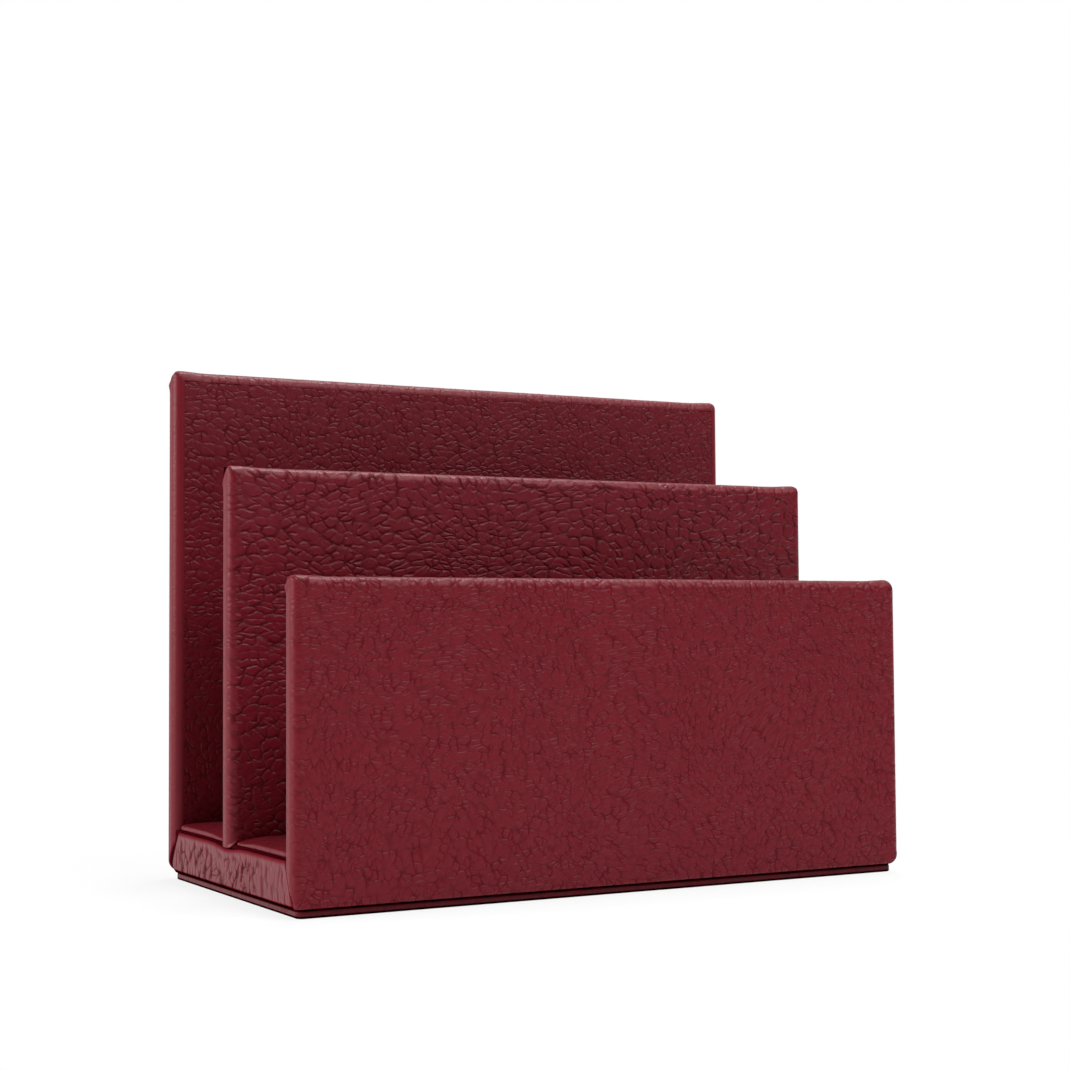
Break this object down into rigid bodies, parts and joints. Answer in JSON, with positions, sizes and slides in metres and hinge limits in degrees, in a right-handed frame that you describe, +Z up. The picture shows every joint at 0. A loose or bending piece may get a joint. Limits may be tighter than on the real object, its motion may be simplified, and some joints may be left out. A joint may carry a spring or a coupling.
{
  "type": "letter holder",
  "caption": "Free-standing desk letter holder with upright leather-covered panels of rising height and open slots for letters on a low base.",
  "frame": {"origin": "centre of the footprint on the desk, under the sole", "axes": "+X along the width to the viewer's right, +Y from the front panel to the back panel, +Z up"},
  "size_m": [0.2, 0.103, 0.155],
  "materials": {
    "board": "raw fibreboard",
    "card": "matte greyboard",
    "screw": "zinc plated",
    "cover_leather": "pebbled, satin",
    "lining_leather": "pebbled, satin",
    "strip_leather": "finely wrinkled, satin",
    "floor_leather": "smooth, satin",
    "sole_leather": "smooth, satin"
  },
  "bodies": {
    "root": {"front_board": "board", "divider_board": "board", "back_board": "board", "base_board": "board", "front_screws": "screw", "back_screws": "screw", "front_cover": "cover_leather", "front_lining": "lining_leather", "divider_cover": "cover_leather", "divider_lining": "lining_leather", "back_cover": "cover_leather", "back_lining": "lining_leather", "left_end_strip": "strip_leather", "right_end_strip": "strip_leather", "front_floor_board": "card", "front_floor_cover": "floor_leather", "rear_floor_board": "card", "rear_floor_cover": "floor_leather", "sole_board": "card", "sole_cover": "sole_leather"}
  },
  "joints": []
}
